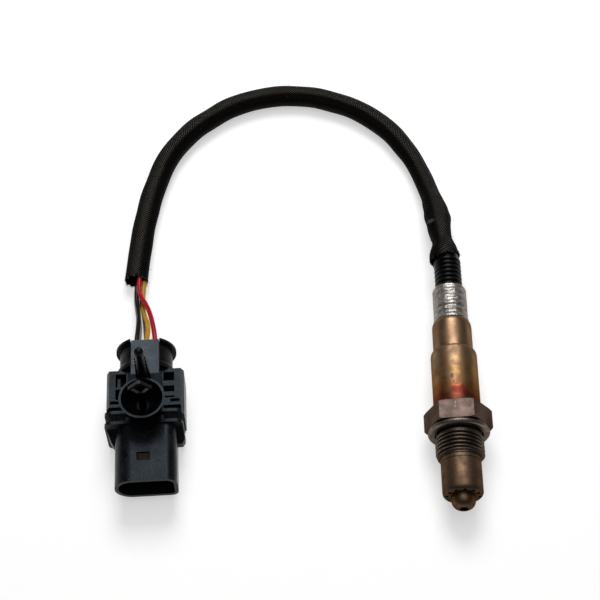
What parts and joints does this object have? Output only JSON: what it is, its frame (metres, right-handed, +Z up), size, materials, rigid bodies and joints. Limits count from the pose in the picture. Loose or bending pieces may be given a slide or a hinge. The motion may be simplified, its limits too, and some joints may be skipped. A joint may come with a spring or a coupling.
{
  "type": "oxygen sensor",
  "caption": "Screw-in exhaust oxygen sensor with a hexagon, sealing washer and perforated tip, a braided sleeve over its leads and a plug with a push-in clip.",
  "frame": {"origin": "centre of the seat under the hexagon, on the sensor's axis", "axes": "+Y along the sensor's axis from the tip towards the lead, +Z up as the part lies, the plug towards -X with its mouth towards -Y"},
  "size_m": [0.1437, 0.2058, 0.0445],
  "materials": {
    "hex_steel": "forged steel hexagon and shank, heat browned, with dark paste on the thread",
    "gasket_steel": "rolled stainless gasket, dull",
    "hot_steel": "drawn stainless tube, brown with heat tint and speckle",
    "tip_steel": "drawn stainless inner tube, dark brown",
    "zirconia": "laminated zirconia strip",
    "ceramic": "sintered ceramic",
    "talc": "pressed talc powder",
    "shell_hot": "stainless shell, satin, amber to dark red heat tint by the hexagon",
    "shell_bronze": "stainless shell, satin tan",
    "crimp_silver": "crimped stainless ring, dull silver",
    "dark_rubber": "moulded black rubber",
    "braid": "black braided textile sleeve",
    "wire_red": "red insulation",
    "wire_yellow": "yellow insulation",
    "wire_black": "black insulation",
    "wire_white": "white insulation",
    "wire_grey": "grey insulation",
    "plug_plastic": "glass filled moulding, fine grain",
    "seal_rubber": "silicone seal",
    "lock_plastic": "moulded lock",
    "clip_plastic": "moulded nylon",
    "resistor": "trimmed resistor chip",
    "tin_plate": "tinned copper alloy"
  },
  "bodies": {
    "root": {"housing": "hex_steel", "sealing_washer": "gasket_steel", "outer_protection_tube": "hot_steel", "inner_protection_tube": "tip_steel", "sensor_element": "zirconia", "lower_ceramic": "ceramic", "talc_ring": "talc", "upper_ceramic": "ceramic", "contact_holder": "ceramic", "lower_shell": "shell_hot", "upper_shell": "shell_bronze", "crimp_collar": "crimp_silver", "lead_grommet": "dark_rubber", "corrugated_boot": "dark_rubber", "braided_sleeve": "braid", "wire_red": "wire_red", "wire_yellow": "wire_yellow", "wire_black": "wire_black", "wire_white": "wire_white", "wire_grey": "wire_grey", "plug_housing": "plug_plastic", "rear_cap": "plug_plastic", "wire_seal": "seal_rubber", "cavity_plug": "seal_rubber", "terminal_lock": "lock_plastic", "mounting_clip": "clip_plastic", "trim_resistor": "resistor", "contact_barrel_1": "tin_plate", "contact_barrel_2": "tin_plate", "contact_barrel_3": "tin_plate", "contact_barrel_4": "tin_plate", "contact_barrel_5": "tin_plate", "terminal_red": "tin_plate", "terminal_yellow": "tin_plate", "terminal_black": "tin_plate", "terminal_white": "tin_plate", "terminal_grey": "tin_plate"}
  },
  "joints": []
}
